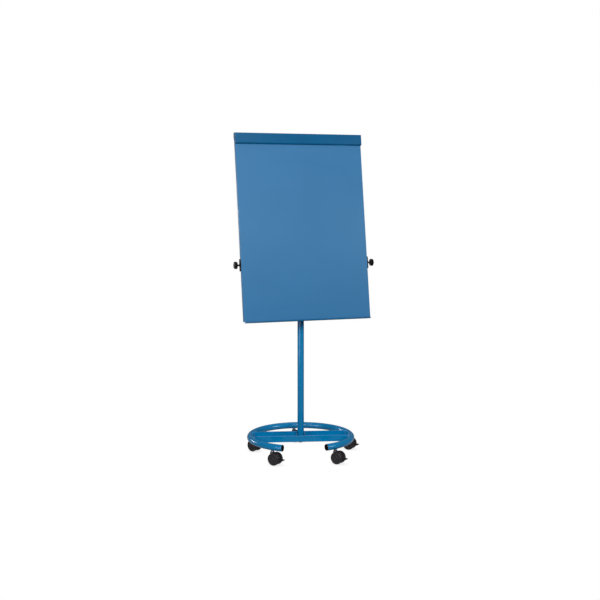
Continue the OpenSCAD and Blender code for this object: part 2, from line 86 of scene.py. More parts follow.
class Shader:
    """A node material under construction, with short calls for the nodes that the finishes share."""

    def __init__(self, name):
        self.material = bpy.data.materials.new(name)
        self.material.use_nodes = True
        self.tree = self.material.node_tree
        self.bsdf = self.tree.nodes["Principled BSDF"]
        self.coords = self.node("ShaderNodeTexCoord").outputs["Object"]

    def node(self, kind, inputs=None, **settings):
        """A new node with its settings, and a value or a link for each of the inputs."""
        made = self.tree.nodes.new(kind)
        for key, value in settings.items():
            setattr(made, key, value)
        for key, value in (inputs or {}).items():
            feed(self.tree, made.inputs[key], value)
        return made

    def set(self, **values):
        """Values or links for the finish itself; an underscore stands for a space in an input's name."""
        for key, value in values.items():
            feed(self.tree, self.bsdf.inputs[key.replace("_", " ")], value)

    def noise(self, per_metre, detail=3.0, roughness=0.5, stretch=None):
        """Noise with about per_metre cells in a metre, stretched along each axis if asked."""
        source = self.coords
        if stretch:
            source = self.node("ShaderNodeMapping", {"Vector": source, "Scale": stretch}).outputs["Vector"]
        inputs = {"Vector": source, "Scale": per_metre, "Detail": detail, "Roughness": roughness}
        return self.node("ShaderNodeTexNoise", inputs).outputs["Fac"]

    def span(self, source, low, high, start=0.3, end=0.7):
        """Source mapped from start..end to low..high."""
        inputs = {"Value": source, "From Min": start, "From Max": end, "To Min": low, "To Max": high}
        return self.node("ShaderNodeMapRange", inputs).outputs["Result"]

    def patches(self, low, high, per_metre, detail=3.0, start=0.3):
        """A value that drifts between low and high, in patches of noise."""
        return self.span(self.noise(per_metre, detail), low, high, start)

    def mix(self, factor, first, second):
        """The first colour where the factor is 0, the second where it is 1."""
        made = self.node("ShaderNodeMix", data_type="RGBA")
        sockets = {s.identifier: s for s in (*made.inputs, *made.outputs)}
        for key, value in (("Factor_Float", factor), ("A_Color", first), ("B_Color", second)):
            feed(self.tree, sockets[key], value)
        return sockets["Result_Color"]

    def math(self, operation, first, second):
        return self.node("ShaderNodeMath", {0: first, 1: second}, operation=operation).outputs[0]

    def bump(self, height, strength, distance=GRAIN_DEPTH):
        inputs = {"Height": height, "Strength": strength, "Distance": distance}
        self.set(Normal=self.node("ShaderNodeBump", inputs).outputs["Normal"])

    def normal(self):
        return self.node("ShaderNodeNewGeometry").outputs["Normal"]

    def edge_mask(self, width):
        """Near 1 where the surface turns sharply within the width, near 0 on flat ground."""
        bevel = self.node("ShaderNodeBevel", {"Radius": width}, samples=4)
        normals = {0: bevel.outputs["Normal"], 1: self.normal()}
        dot = self.node("ShaderNodeVectorMath", normals, operation="DOT_PRODUCT")
        return self.span(dot.outputs["Value"], 1, 0, 0.75, 0.98)

    def upward(self):
        """How far the surface faces up: 0 until its normal is 30 degrees above level, 1 for straight up."""
        split = self.node("ShaderNodeSeparateXYZ", {0: self.normal()})
        return self.span(split.outputs["Z"], 0, 1, 0.5, 1)


def paint(name, colour, gloss, peel, dust=0.03, mirror=0.32):
    """Powder coat or lacquer: orange peel, slight clouding, paler edges (worn paint and a painted highlight), a
    little dust on top.
    """
    shader = Shader(name)
    base = srgb(*colour)
    body = shader.mix(shader.patches(0, 1, per_metre=9, detail=4), tint(base, 0.93), tint(base, 1.05))
    # Paler edges: part worn paint, part a painted highlight where rounded edges would catch the light
    edge_patchiness = shader.patches(0.45, 0.8, per_metre=160, detail=5, start=0.35)
    worn_and_lit_edges = shader.math("MULTIPLY", shader.edge_mask(PAINT_WEAR_AND_HIGHLIGHT_WIDTH), edge_patchiness)
    body = shader.mix(worn_and_lit_edges, body, tint(base, 0.6, lift=0.3))
    specks = shader.span(shader.noise(55, detail=6, roughness=0.65), 0, dust)
    settled = shader.math("MULTIPLY", shader.upward(), specks)
    body = shader.mix(settled, body, srgb(*DUST_COLOUR))
    rough = shader.patches(gloss - 0.02, gloss + 0.03, per_metre=420)
    rough = shader.math("ADD", rough, shader.math("MULTIPLY", settled, 2.0))
    shader.set(Base_Color=body, Roughness=rough, Specular_IOR_Level=mirror)
    shader.bump(shader.noise(700, detail=2, roughness=0.4), peel, PEEL_DEPTH)
    return shader.material


def panel_paint(name, colour):
    """The satin writing surface: a fine even grain, faint wiped streaks and very slight clouding."""
    shader = Shader(name)
    base = srgb(*colour)
    body = shader.mix(shader.patches(0, 1, per_metre=5), tint(base, 0.965), tint(base, 1.02))
    wipes = shader.span(shader.noise(7, detail=5, roughness=0.6, stretch=(0.35, 1, 2.6)), 0.40, 0.50)
    rough = shader.math("ADD", wipes, shader.patches(-0.02, 0.02, per_metre=900, detail=2))
    shader.set(Base_Color=body, Roughness=rough, Specular_IOR_Level=0.30)
    shader.bump(shader.noise(1300, detail=2), 0.12)
    return shader.material


def plastic(name, colour, rough, grain, grains_per_metre=1400, mirror=0.35):
    """Moulded plastic: spark-eroded grain, slight sheen changes and scuffed edges."""
    shader = Shader(name)
    base = srgb(*colour)
    body = shader.mix(shader.patches(0, 1, per_metre=40, detail=4), tint(base, 0.85), tint(base, 1.15))
    edge_patchiness = shader.patches(0, 0.35, per_metre=260, detail=5, start=0.4)
    scuff = shader.math("MULTIPLY", shader.edge_mask(PLASTIC_SCUFF_WIDTH), edge_patchiness)
    body = shader.mix(scuff, body, tint(base, 2.2, lift=0.02))
    sheen = shader.patches(rough - 0.05, rough + 0.06, per_metre=300)
    shader.set(Base_Color=body, Roughness=sheen, Specular_IOR_Level=mirror)
    shader.bump(shader.noise(grains_per_metre, detail=2), grain)
    return shader.material


def zinc(name):
    """Bright zinc plate: metallic, with a faint warm and cool mottling and fine turning marks."""
    shader = Shader(name)
    cool, warm = (0.52, 0.53, 0.55, 1), (0.66, 0.65, 0.61, 1)
    body = shader.mix(shader.patches(0, 1, per_metre=90, detail=4), cool, warm)
    shader.set(Base_Color=body, Metallic=1.0, Roughness=shader.patches(0.24, 0.38, per_metre=500))
    shader.bump(shader.noise(400, detail=2, stretch=(8, 1, 1)), 0.08)
    return shader.material


FINISHES = {
    "gloss_paint": paint("gloss_blue_paint", (0, 114, 166), gloss=0.17, peel=0.02),
    "panel_paint": panel_paint("satin_panel_paint", (48, 111, 158)),
    # The clamp bar's colour is the gloss blue darkened, a painted shade on the bar's face
    "clamp_paint": paint("clamp_bar_shaded_paint", (4, 86, 130), gloss=0.45, peel=0.05, dust=0.0, mirror=0.10),
    "black_plastic": plastic("black_moulded_plastic", (2, 3, 4), rough=0.40, grain=0.22, mirror=0.12),
    "caster_plastic": plastic("caster_nylon", (28, 21, 28), rough=0.40, grain=0.15),
    "wheel_plastic": plastic("wheel_nylon", (23, 16, 23), rough=0.45, grain=0.18),
    "rubber": plastic("black_rubber", (16, 16, 17), rough=0.75, grain=0.30, grains_per_metre=900),
    "nylon": plastic("natural_nylon", (206, 204, 194), rough=0.45, grain=0.10),
    "zinc_steel": zinc("zinc_plated_steel"),
}


# ---------------------------------------------------------------- CAD nodes

SMOOTH_DEGREES = 32
ROUNDED_DEGREES = 38
FLAT_DEGREES = 0.3
WELD_DISTANCE = 2e-6

# Edge radius in millimetres; a node that isn't here keeps its edges
EDGE_RADIUS = {
    "base_channel": 2.4, "socket_plates": 1.0, "column_tube": 0.3, "mast_tube": 0.3, "mast_head_plates": 0.6,
    "mast_top_cap": 0.6, "height_collar": 1.2, "collar_guide_bush": 0.4, "column_bolt": 0.6,
    "caster_sockets": 0.5, "caster_stems": 0.5, "cross_tube": 0.3, "cross_tube_inserts": 0.3,
    "writing_panel": 0.25, "back_stiffeners": 0.4, "pen_ledge": 0.3, "side_pads": 1.1,
    "friction_washers": 0.3, "clamp_bar": 0.3, "clamp_grip_strip": 0.3, "clamp_pivot_pins": 0.5,
    "pad_peg_left": 0.08, "pad_peg_right": 0.08, "tilt_stud_left": 0.4, "tilt_stud_right": 0.4,
    "height_stud": 0.4,
}


def smooth_by_angle(degrees):
    """A geometry node group that shades smooth, but keeps edges that turn more than the angle sharp."""
    group = bpy.data.node_groups.new(f"smooth_below_{degrees}", "GeometryNodeTree")
    group.interface.new_socket("Geometry", in_out="INPUT", socket_type="NodeSocketGeometry")
    group.interface.new_socket("Geometry", in_out="OUTPUT", socket_type="NodeSocketGeometry")
    entry, leave = group.nodes.new("NodeGroupInput"), group.nodes.new("NodeGroupOutput")
    faces, edges = (group.nodes.new("GeometryNodeSetShadeSmooth") for _ in range(2))
    faces.domain, edges.domain = "FACE", "EDGE"
    angle = group.nodes.new("GeometryNodeInputMeshEdgeAngle")
    compare = group.nodes.new("FunctionNodeCompare")
    compare.operation = "LESS_THAN"
    compare.inputs["B"].default_value = math.radians(degrees)
    link = group.links.new
    link(entry.outputs[0], faces.inputs["Geometry"])
    link(faces.outputs[0], edges.inputs["Geometry"])
    link(angle.outputs["Unsigned Angle"], compare.inputs["A"])
    link(compare.outputs[0], edges.inputs["Shade Smooth"])
    link(edges.outputs[0], leave.inputs[0])
    return group


SMOOTH = smooth_by_angle(SMOOTH_DEGREES)


def shade(obj):
    obj.modifiers.new("shade", "NODES").node_group = SMOOTH


def soften(obj, radius):
    """Welds the mesh, rounds its sharp edges if there is a radius, and shades it, all as modifiers."""
    weld = obj.modifiers.new("weld", "WELD")
    weld.merge_threshold = WELD_DISTANCE
    if radius:
        flat = obj.modifiers.new("flat_faces", "DECIMATE")
        flat.decimate_type = "DISSOLVE"
        flat.angle_limit = math.radians(FLAT_DEGREES)
        bevel = obj.modifiers.new("round_edges", "BEVEL")
        bevel.width = radius
        bevel.segments = 2
        bevel.limit_method = "ANGLE"
        bevel.angle_limit = math.radians(ROUNDED_DEGREES)
        bevel.miter_outer = "MITER_ARC"
    shade(obj)


def drop_import_normals(mesh):
    """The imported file's own normals would fight with the modifiers' rounded edges."""
    if "custom_normal" in mesh.attributes:
        mesh.attributes.remove(mesh.attributes["custom_normal"])


slot_of = {s["node"]: s["material_slot"] for s in frame["record"]["subparts"]}
for name, node in frame["nodes"].items():
    drop_import_normals(node.data)
    node.data.materials.clear()
    node.data.materials.append(FINISHES[slot_of[name]])
    soften(node, EDGE_RADIUS.get(name, 0) * MM)


# ---------------------------------------------------------------- shapes

# A shape is a list of points and a list of faces, each face a list of point numbers

# Share of a side that one rounded corner may use up, and share of its radius that a swept rod ends with
CORNER_SHARE = 0.48
END_TAPER = 0.6


def rounded(corners, steps=5):
    """A line through (x, y, radius) corners, with each corner cut back by its radius and curved."""
    line = []
    for i, (x, y, radius) in enumerate(corners):
        here = Vector((x, y))
        if not radius:
            line.append(here)
            continue
        before = Vector(corners[i - 1][:2]) - here
        after = Vector(corners[(i + 1) % len(corners)][:2]) - here
        cut = min(radius, CORNER_SHARE * before.length, CORNER_SHARE * after.length)
        start, end = here + before.normalized() * cut, here + after.normalized() * cut
        for k in range(steps + 1):
            t = k / steps
            line.append(start * (1 - t) ** 2 + here * 2 * t * (1 - t) + end * t ** 2)
    return line


def joined(rings, segments):
    """Faces between neighbouring rings of point numbers; a ring of one point closes to a tip."""
    faces = []
    for lower, upper in zip(rings, rings[1:]):
        for k in range(segments):
            after = (k + 1) % segments
            corners = [lower[k % len(lower)], lower[after % len(lower)],
                       upper[after % len(upper)], upper[k % len(upper)]]
            face = list(dict.fromkeys(corners))
            if len(face) > 2:
                faces.append(face)
    return faces


def skinned(rings, segments, closed=False):
    """A skin over rings of points; a ring of one point is a tip, and a closed skin ends where it starts."""
    points, numbers = [], []
    for ring in rings:
        numbers.append(list(range(len(points), len(points) + len(ring))))
        points += ring
    return points, joined(numbers + numbers[:1] if closed else numbers, segments)


def circle(count):
    """The cosine and sine of each of count even steps round a circle."""
    turns = [2 * math.pi * k / count for k in range(count)]
    return [(math.cos(turn), math.sin(turn)) for turn in turns]


def turned(profile, segments=64, wave=None):
    """A (radius, height) profile turned about +Z; wave(radius, angle) may change the radius."""
    rings = []
    for radius, height in profile:
        ring = []
        for k in range(segments if radius else 1):
            angle = 2 * math.pi * k / segments
            reach = wave(radius, angle) if wave else radius
            ring.append(Vector((reach * math.cos(angle), reach * math.sin(angle), height)))
        rings.append(ring)
    return skinned(rings, segments)


def rod(radius, low, high, segments):
    """A plain round rod along Z."""
    return turned([(0, low), (radius, low), (radius, high), (0, high)], segments)


def swept(path, radius, sides=8, ripple=0.0, pitch=1.0):
    """A round rod along a path of points, with pointed ends; its radius may ripple like a laid weld."""
    rings = [path[:1]]
    side = (path[1] - path[0]).orthogonal().normalized()
    run = 0.0
    last = len(path) - 1
    for i, here in enumerate(path):
        ahead, behind = path[min(i + 1, last)], path[max(i - 1, 0)]
        along = (ahead - behind).normalized()
        run += (here - behind).length
        side = (side - along * side.dot(along)).normalized()
        up = along.cross(side)
        reach = radius * (1 + ripple * abs(math.sin(math.pi * run / pitch)))
        if i in (0, last):
            reach *= END_TAPER
        rings.append([here + side * (reach * c) + up * (reach * s) for c, s in circle(sides)])
    return skinned([*rings, path[-1:]], sides)


def lofted(sections):
    """A closed skin over sections, each a list of the same number of points."""
    count = len(sections[0])
    tips = [[sum(section, Vector()) / count] for section in (sections[0], sections[-1])]
    return skinned([tips[0], *sections, tips[1]], count)


def together(*shapes):
    """Several shapes as one."""
    points, faces = [], []
    for more_points, more_faces in shapes:
        start = len(points)
        points += more_points
        faces += [[start + i for i in face] for face in more_faces]
    return points, faces


def moved(shape, matrix):
    points, faces = shape
    return [matrix @ p for p in points], faces


def mesh_of(name, shape):
    mesh = bpy.data.meshes.new(name)
    points, faces = shape
    mesh.from_pydata([p[:] for p in points], [], faces)
    form = bmesh.new()
    form.from_mesh(mesh)
    bmesh.ops.recalc_face_normals(form, faces=form.faces)
    form.to_mesh(mesh)
    form.free()
    return mesh


def linked(name, data):
    """A new object in the scene."""
    obj = bpy.data.objects.new(name, data)
    scene.collection.objects.link(obj)
    return obj


def mesh_piece(name, mesh, body, slot, *stands_for):
    """A finished piece: it rides on the body, wears the slot's finish and may stand for CAD nodes."""
    obj = linked(name, mesh)
    mesh.materials.append(FINISHES[slot])
    shade(obj)
    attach(obj, body)
    if stands_for:
        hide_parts(*stands_for)


def piece(name, shape, body, slot, *stands_for):
    """A finished piece made from a shape in metres."""
    mesh_piece(name, mesh_of(name, shape), body, slot, *stands_for)


# ---------------------------------------------------------------- places

def frame_matrix(origin, x, y):
    """A place whose own X and Y axes point as given."""
    x, y = Vector(x).normalized(), Vector(y).normalized()
    matrix = Matrix((x, y, x.cross(y))).transposed().to_4x4()
    matrix.translation = origin
    return matrix


def along_axis(origin, axis):
    """A place whose own +Z axis points along the axis."""
    matrix = Vector(axis).to_track_quat("Z", "Y").to_matrix().to_4x4()
    matrix.translation = origin
    return matrix


def crosswise(x, y, z, sign=1):
    """A place whose own +Z axis points along +Y, or along -Y for a sign of -1."""
    return Matrix.Translation((x, y, z)) @ Matrix.Rotation(math.radians(-90 * sign), 4, "X")


def in_mm(place):
    """The same place for a shape in millimetres."""
    return place @ Matrix.Scale(MM, 4)


def joint_place(name):
    return Vector(joints[name]["pos_m"])


# ---------------------------------------------------------------- knobs

FLUTE_DEPTH = 2.2
HEIGHT_KNOB_LENGTH = 17


def knob_shape(length, grip_r, neck_l, neck_r, bore_r, ferrule_r, ferrule_l, flutes):
    """A lobed grip on a slim neck, along +Z from its ferrule, with a blind bore for its stud. Millimetres."""
    bore_l = length - 4
    profile = rounded([
        (0, bore_l, 0), (bore_r, bore_l, 0), (bore_r, 0, 0.3), (ferrule_r, 0, 0.4),
        (ferrule_r, ferrule_l, 0.5), (neck_r, neck_l, 1.5), (grip_r - 2.5, neck_l, 1.5),
        (grip_r, neck_l + 3, 3), (grip_r, length - 4.5, 4), (grip_r - 4, length, 3),
        (grip_r * 0.5, length, 0.6), (grip_r * 0.47, length - 0.9, 0.4), (0, length - 0.9, 0),
    ])

    def wave(radius, angle):
        """The radius less its flute; flutes start at 0.6 of the grip's radius and are full at 0.9."""
        weight = max(0.0, min(1.0, (radius / grip_r - 0.6) / 0.3))
        return radius - FLUTE_DEPTH * weight * (0.5 - 0.5 * math.cos(flutes * angle)) ** 2.5

    return turned(profile, 96, wave)


def knob(node, body, root, axis, shape):
    """The grip that stands for a knob's node, out from its root along the axis."""
    place = in_mm(along_axis(root, axis))
    piece(f"{node}_grip", moved(shape, place), body, "black_plastic", node)


def knobs():
    for side, sign in (("left", -1), ("right", 1)):
        node = f"tilt_knob_{side}"
        low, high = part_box(node)
        size = (high - low) / MM
        centre = joint_place(f"{node}_turn")
        root = (low.x if sign > 0 else high.x, centre.y, centre.z)
        shape = knob_shape(size.x, size.z / 2, neck_l=12, neck_r=8, bore_r=3.1,
                           ferrule_r=4.1, ferrule_l=4.5, flutes=6)
        knob(node, f"tilt_clamp_{side}", root, (sign, 0, 0), shape)
    low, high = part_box("height_knob")
    axis = Vector(joints["height_knob_turn"]["axis"])
    root = (low + high) / 2 - axis * (HEIGHT_KNOB_LENGTH * MM / 2)
    shape = knob_shape(HEIGHT_KNOB_LENGTH, (high.z - low.z) / 2 / MM, neck_l=3, neck_r=12, bore_r=5.1,
                       ferrule_r=7, ferrule_l=0.6, flutes=7)
    knob("height_knob", "height_clamp", root, axis, shape)


# ---------------------------------------------------------------- casters

CASTERS = sorted(j[:-len("_swivel")] for j in joints if j.startswith("caster_") and j.endswith("_swivel"))

# All in millimetres
HOOD_HALF = 10
HOOD_FOOT_Z = 15
HOOD_R = 34
HOOD_VOXEL = 0.9
# Places across the hood, and how far its outline is drawn in there to run the edges out round
HOOD_SECTIONS = ((-10, 1.6), (-9.3, 0.5), (-8, 0), (8, 0), (9.3, 0.5), (10, 1.6))
# The hood's bores for its stem and axle, and its slot for the lever; X starts at the axle, Z at the floor
STEM_BORE_R = 4.05
STEM_BORE_Z = (44, 84)
AXLE_BORE_R = 3.01
AXLE_BORE_HALF = 20
LEVER_SLOT_HALF = 3.5
LEVER_SLOT_X = (14.5, 40)
LEVER_SLOT_Z = (18, 66)
# The lever's cross pin, measured from the axle
LEVER_PIN_X = 23
LEVER_PIN_Z = 6
LEVER_PIN_R = 1.5
LEVER_PIN_HALF = 7
WHEEL_HALF = 7.5


def caster_place(name):
    """The caster's own place in millimetres, its trail, its axle's height and its wheels' middle.

    Its +Z runs up its stem and its +X along its trail.
    """
    stem = joint_place(f"{name}_swivel")
    left, right = joint_place(f"{name}_roll_l"), joint_place(f"{name}_roll_r")
    axle = (left + right) / 2
    trail = Vector((axle.x - stem.x, axle.y - stem.y, 0))
    place = frame_matrix((stem.x, stem.y, 0), trail, Vector((0, 0, 1)).cross(trail))
    return in_mm(place), trail.length / MM, axle.z / MM, (left - right).length / 2 / MM


def wheel_shape(radius):
    """A moulded wheel along +Z from its inner face: crowned tread with two grooves, rim, dished face, hub."""
    width = 2 * WHEEL_HALF
    profile = rounded([
        (0, 12, 0), (3.1, 12, 0), (3.1, 0, 0.4), (8.5, 0, 0.5), (9.5, 2.6, 0.8), (23, 2.6, 0.8),
        (24.5, 0, 0.6),
        (radius - 1.6, 0, 0.8), (radius - 0.5, 1.6, 1.2), (radius - 0.3, 3.4, 0), (radius - 0.9, 3.7, 0),
        (radius - 0.2, 4.1, 0), (radius, WHEEL_HALF, 3), (radius - 0.2, width - 4.1, 0),
        (radius - 0.9, width - 3.7, 0), (radius - 0.3, width - 3.4, 0), (radius - 0.8, width - 1.6, 1.2),
        (radius - 2.8, width, 1.2), (radius - 5.2, width, 0.6), (radius - 5.8, width - 1.4, 0.6),
        (12.5, width - 0.9, 2), (9.5, width - 1.4, 0.6), (8.8, width - 0.2, 0.8), (4, width, 0.8),
        (3.4, width - 0.7, 0.4), (0, width - 0.7, 0),
    ], 4)
    return turned(profile, 72)


def hood_outline(trail, axle_z):
    """Side view of the hood: an arched fender over the axle that runs up into the stem's neck."""
    def arc(start, end, steps):
        angles = [math.radians(start + (end - start) * k / steps) for k in range(steps + 1)]
        return [Vector((trail + HOOD_R * math.cos(a), axle_z + HOOD_R * math.sin(a))) for a in angles]

    foot = math.degrees(math.asin((axle_z - HOOD_FOOT_Z) / HOOD_R))
    shoulder = [Vector((-HOOD_HALF + 1, 64)), Vector((-HOOD_HALF, 58))]
    return arc(-foot, 98, 26) + shoulder + arc(140, 180 + foot, 14)


def hood_blank(trail, axle_z, top):
    """The hood before its bores are cut, its fender and neck blended into one skin."""
    outline = hood_outline(trail, axle_z)
    middle = sum(outline, Vector((0, 0))) / len(outline)
    sections = []
    for y, inset in HOOD_SECTIONS:
        ring = [p + (middle - p).normalized() * inset for p in outline]
        sections.append([Vector((p.x, y, p.y)) for p in ring])
    neck = turned(rounded([(0, 48, 0), (12.5, 48, 0), (11.8, 63, 3), (9.2, top, 1.5), (0, top, 0)]), 48)
    blank = linked("hood_blank", mesh_of("hood_blank", together(lofted(sections), neck)))
    remesh = blank.modifiers.new("blend", "REMESH")
    remesh.mode = "VOXEL"
    remesh.voxel_size = HOOD_VOXEL
    smooth = blank.modifiers.new("smooth", "SMOOTH")
    smooth.factor = 0.5
    smooth.iterations = 5
    return blank


def hood_mesh(trail, axle_z, top):
    """The hood, bored for its stem and axle and slotted for the lever."""
    blank = hood_blank(trail, axle_z, top)
    stem = rod(STEM_BORE_R, *STEM_BORE_Z, 32)
    axle = moved(rod(AXLE_BORE_R, -AXLE_BORE_HALF, AXLE_BORE_HALF, 24), crosswise(trail, 0, axle_z))
    half = LEVER_SLOT_HALF
    low, high = LEVER_SLOT_Z
    slot_line = [(-half, low), (half, low), (half, high), (-half, high)]
    slot = lofted([[Vector((trail + x, y, z)) for y, z in slot_line] for x in LEVER_SLOT_X])
    cutters = []
    for shape in (stem, axle, slot):
        cutter = linked("cutter", mesh_of("cutter", shape))
        cut = blank.modifiers.new("cut", "BOOLEAN")
        cut.operation = "DIFFERENCE"
        cut.object = cutter
        cutters.append(cutter)
    bpy.context.view_layer.update()
    mesh = bpy.data.meshes.new_from_object(blank.evaluated_get(bpy.context.evaluated_depsgraph_get()))
    for obj in (blank, *cutters):
        bpy.data.objects.remove(obj)
    return mesh


def lever_shape(trail, axle_z):
    """The brake lever: a hooked tongue on its cross pin that widens into a ribbed, upturned pedal."""
    # Along the lever: distance and height from the axle, half thickness and half width
    stations = [
        (17.2, 5.5, 1.5, 2.9), (18.5, 5.6, 2.3, 3.1), (23, 6, 3.4, 3.1), (28, 4.6, 3.3, 3.1),
        (33, 1.6, 3.0, 3.1), (36.5, -0.6, 3.4, 3.6), (38, -1.3, 3.8, 7), (40, -1.9, 4.0, 12),
        (42.2, -2.5, 3.8, 13.8),
        (43.6, -2.8, 3.2, 14), (45.2, -3.0, 3.5, 14), (46.8, -3.1, 2.9, 14), (48.2, -3.0, 3.1, 13.8),
        (50, -2.6, 2.7, 13.4), (51.6, -1.8, 2.0, 12.8), (52.8, -0.8, 1.0, 12),
    ]
    # Powers below 1 square each section off
    rim = [(math.copysign(abs(c) ** 0.5, c), math.copysign(abs(s) ** 0.7, s)) for c, s in circle(24)]
    sections = []
    for x, z, thick, wide in stations:
        sections.append([Vector((trail + x, y * wide, axle_z + z + up * thick)) for y, up in rim])
    pin = moved(rod(LEVER_PIN_R, -LEVER_PIN_HALF, LEVER_PIN_HALF, 20),
                crosswise(trail + LEVER_PIN_X, 0, axle_z + LEVER_PIN_Z))
    return together(lofted(sections), pin)


def casters():
    """The five casters are alike, so one hood is modelled and copied."""
    hood = None
    for name in CASTERS:
        place, trail, axle_z, wheel_mid = caster_place(name)
        if hood is None:
            hood = hood_mesh(trail, axle_z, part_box(f"{name}_hood")[1].z / MM)
        mesh = hood.copy()
        mesh.transform(place)
        mesh_piece(f"{name}_hood_moulding", mesh, name, "caster_plastic", f"{name}_hood")
        for side, sign in (("left", 1), ("right", -1)):
            inner_face = crosswise(trail, sign * (wheel_mid - WHEEL_HALF), axle_z, sign)
            piece(f"{name}_wheel_{side}_moulding", moved(wheel_shape(axle_z), place @ inner_face),
                  f"{name}_wheel_{side[0]}", "wheel_plastic", f"{name}_wheel_{side}")
        piece(f"{name}_brake_pedal", moved(lever_shape(trail, axle_z), place),
              f"{name}_brake", "caster_plastic", f"{name}_brake_lever")


# ---------------------------------------------------------------- base details

# In millimetres, except the angle from the base's front to either end of the ring
RING_TUBE_R = 17.5
RING_BORE_R = 15.5
RING_R = 272.5
RING_HALF_GAP = math.radians(25)
CHANNEL_HALF = 55
SOCKET_R = 8
# A weld bead's ripple, as a share of its radius, and the distance from one ripple to the next
WELD_RIPPLE = 0.35
WELD_PITCH = 1.9


def base_place():
    """The base's own place in millimetres; its +Y is the height knob's axis."""
    forward = Vector(joints["height_knob_turn"]["axis"])
    return in_mm(frame_matrix((0, 0, 0), forward.cross(Vector((0, 0, 1))), forward))


def ring_height():
    """The height of the ring tube's centre line."""
    low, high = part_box("base_ring")
    return (low.z + high.z) / 2 / MM


def ring_tube(height):
    """The bent ring as one even hollow tube, its two cut ends open."""
    steps, around = 168, 64
    start, sweep = RING_HALF_GAP - math.pi / 2, 2 * (math.pi - RING_HALF_GAP)
    bends = [start + sweep * k / steps for k in range(steps + 1)]
    walls = [(RING_TUBE_R, bend) for bend in bends] + [(RING_BORE_R, bend) for bend in reversed(bends)]
    rings = []
    for tube_r, bend in walls:
        ring = []
        for c, s in circle(around):
            reach = RING_R + tube_r * c
            ring.append(Vector((reach * math.cos(bend), reach * math.sin(bend), height + tube_r * s)))
        rings.append(ring)
    shape = skinned(rings, around, closed=True)
    piece("base_ring_tube", moved(shape, base_place()), "base", "gloss_paint", "base_ring")


def end_plugs(height):
    """Cup-shaped plugs in the ring's open ends."""
    profile = rounded([
        (0, -14, 0), (14.8, -14, 1.5), (15.3, -11, 0), (15.3, -0.05, 0.2), (17.3, -0.05, 0.3),
        (17.3, 2.2, 1.8), (16.2, 4, 0.8), (13.6, 4, 0.9), (12.8, -9, 1), (0, -9, 0),
    ])
    shapes = []
    for sign in (-1, 1):
        centre = (sign * RING_R * math.sin(RING_HALF_GAP), -RING_R * math.cos(RING_HALF_GAP), height)
        outward = (-sign * math.cos(RING_HALF_GAP), -math.sin(RING_HALF_GAP), 0)
        shapes.append(moved(turned(profile), base_place() @ along_axis(centre, outward)))
    piece("ring_end_caps", together(*shapes), "base", "black_plastic", "ring_end_plugs")


def weld(point_at, steps, radius=1.3):
    """A bead along the points that point_at gives for 0 to 1."""
    path = [point_at(k / steps) for k in range(steps + 1)]
    return swept(path, radius, ripple=WELD_RIPPLE, pitch=WELD_PITCH)


def ring_welds(height):
    """Beads where the channel's walls and floor meet the ring's inner side."""
    # The walls' beads stand off the tube and the walls; the floor's bead lies inside the tube's lowest line
    stand_off, floor_inset, floor_lift = 0.4, 11, 1.4
    bead_r = RING_TUBE_R + stand_off
    floor_reach = RING_R - floor_inset
    floor_half = math.asin(CHANNEL_HALF / floor_reach)
    floor_z = height - RING_TUBE_R + floor_lift
    shapes = []
    for end in (-1, 1):
        for wall in (-1, 1):
            def up_the_tube(t, end=end, wall=wall):
                angle = math.radians(-80 + 150 * t)
                reach = RING_R - bead_r * math.cos(angle)
                across = wall * (CHANNEL_HALF + stand_off)
                along = end * math.sqrt(reach ** 2 - across ** 2)
                return Vector((along, across, height + bead_r * math.sin(angle)))
            shapes.append(weld(up_the_tube, 60))

        def along_the_floor(t, end=end):
            angle = floor_half * (2 * t - 1)
            return Vector((end * floor_reach * math.cos(angle), floor_reach * math.sin(angle), floor_z))
        shapes.append(weld(along_the_floor, 150))
    piece("ring_weld_beads", moved(together(*shapes), base_place()), "base", "gloss_paint")


def socket_welds(height):
    """A bead round each caster socket, in the corner under the ring."""
    bead_reach, bead_drop = SOCKET_R + 0.6, RING_TUBE_R + 0.3
    shapes = []
    for name in CASTERS:
        stem = joint_place(f"{name}_swivel") / MM
        outward = Vector((stem.x, stem.y, 0)).normalized()

        def round_the_socket(t, stem=stem, outward=outward):
            angle = 2 * math.pi * t
            offset = Vector((math.cos(angle), math.sin(angle), 0)) * bead_reach
            drop = math.sqrt(bead_drop ** 2 - offset.dot(outward) ** 2)
            return Vector((stem.x, stem.y, height - drop)) + offset
        shapes.append(weld(round_the_socket, 84, 1.1))
    piece("socket_weld_beads", moved(together(*shapes), Matrix.Scale(MM, 4)), "base", "gloss_paint")


# ---------------------------------------------------------------- board details

SPRING_R = 4.1 * MM
SPRING_WIRE_R = 0.7 * MM
SPRING_PITCH = 1.5 * MM
SPRING_TURNS = 6


def springs():
    """The clamp's two torsion springs as true coils that end, on the outside, where the CAD's springs end."""
    outer_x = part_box("clamp_springs")[1].x
    axis = joint_place("clamp_open")
    steps = 24 * SPRING_TURNS
    travel = (SPRING_TURNS - 1) * SPRING_PITCH
    width = 2 * SPRING_WIRE_R + travel
    shapes = []
    for sign in (-1, 1):
        start = axis.x + sign * (outer_x - width)
        path = []
        for k in range(steps + 1):
            angle = 2 * math.pi * SPRING_TURNS * k / steps
            x = start + sign * (SPRING_WIRE_R + travel * k / steps)
            path.append(Vector((x, axis.y + SPRING_R * math.cos(angle), axis.z + SPRING_R * math.sin(angle))))
        shapes.append(swept(path, SPRING_WIRE_R, 10))
    piece("clamp_spring_coils", together(*shapes), "board", "zinc_steel", "clamp_springs")


knobs()
casters()
tube_height = ring_height()
ring_tube(tube_height)
end_plugs(tube_height)
ring_welds(tube_height)
socket_welds(tube_height)
springs()


# ---------------------------------------------------------------- stage, light and camera

# How bright the surroundings are to mirrored and scattered rays; to the camera they are white
FLOOR_MIRRORED = 0.40
FLOOR_BOUNCE = 0.16
WORLD_MIRRORED = 0.12
WORLD_SCATTERED = 0.30
FLOOR_HALF = 40
CONTACT_SHADE_REACH = 0.05


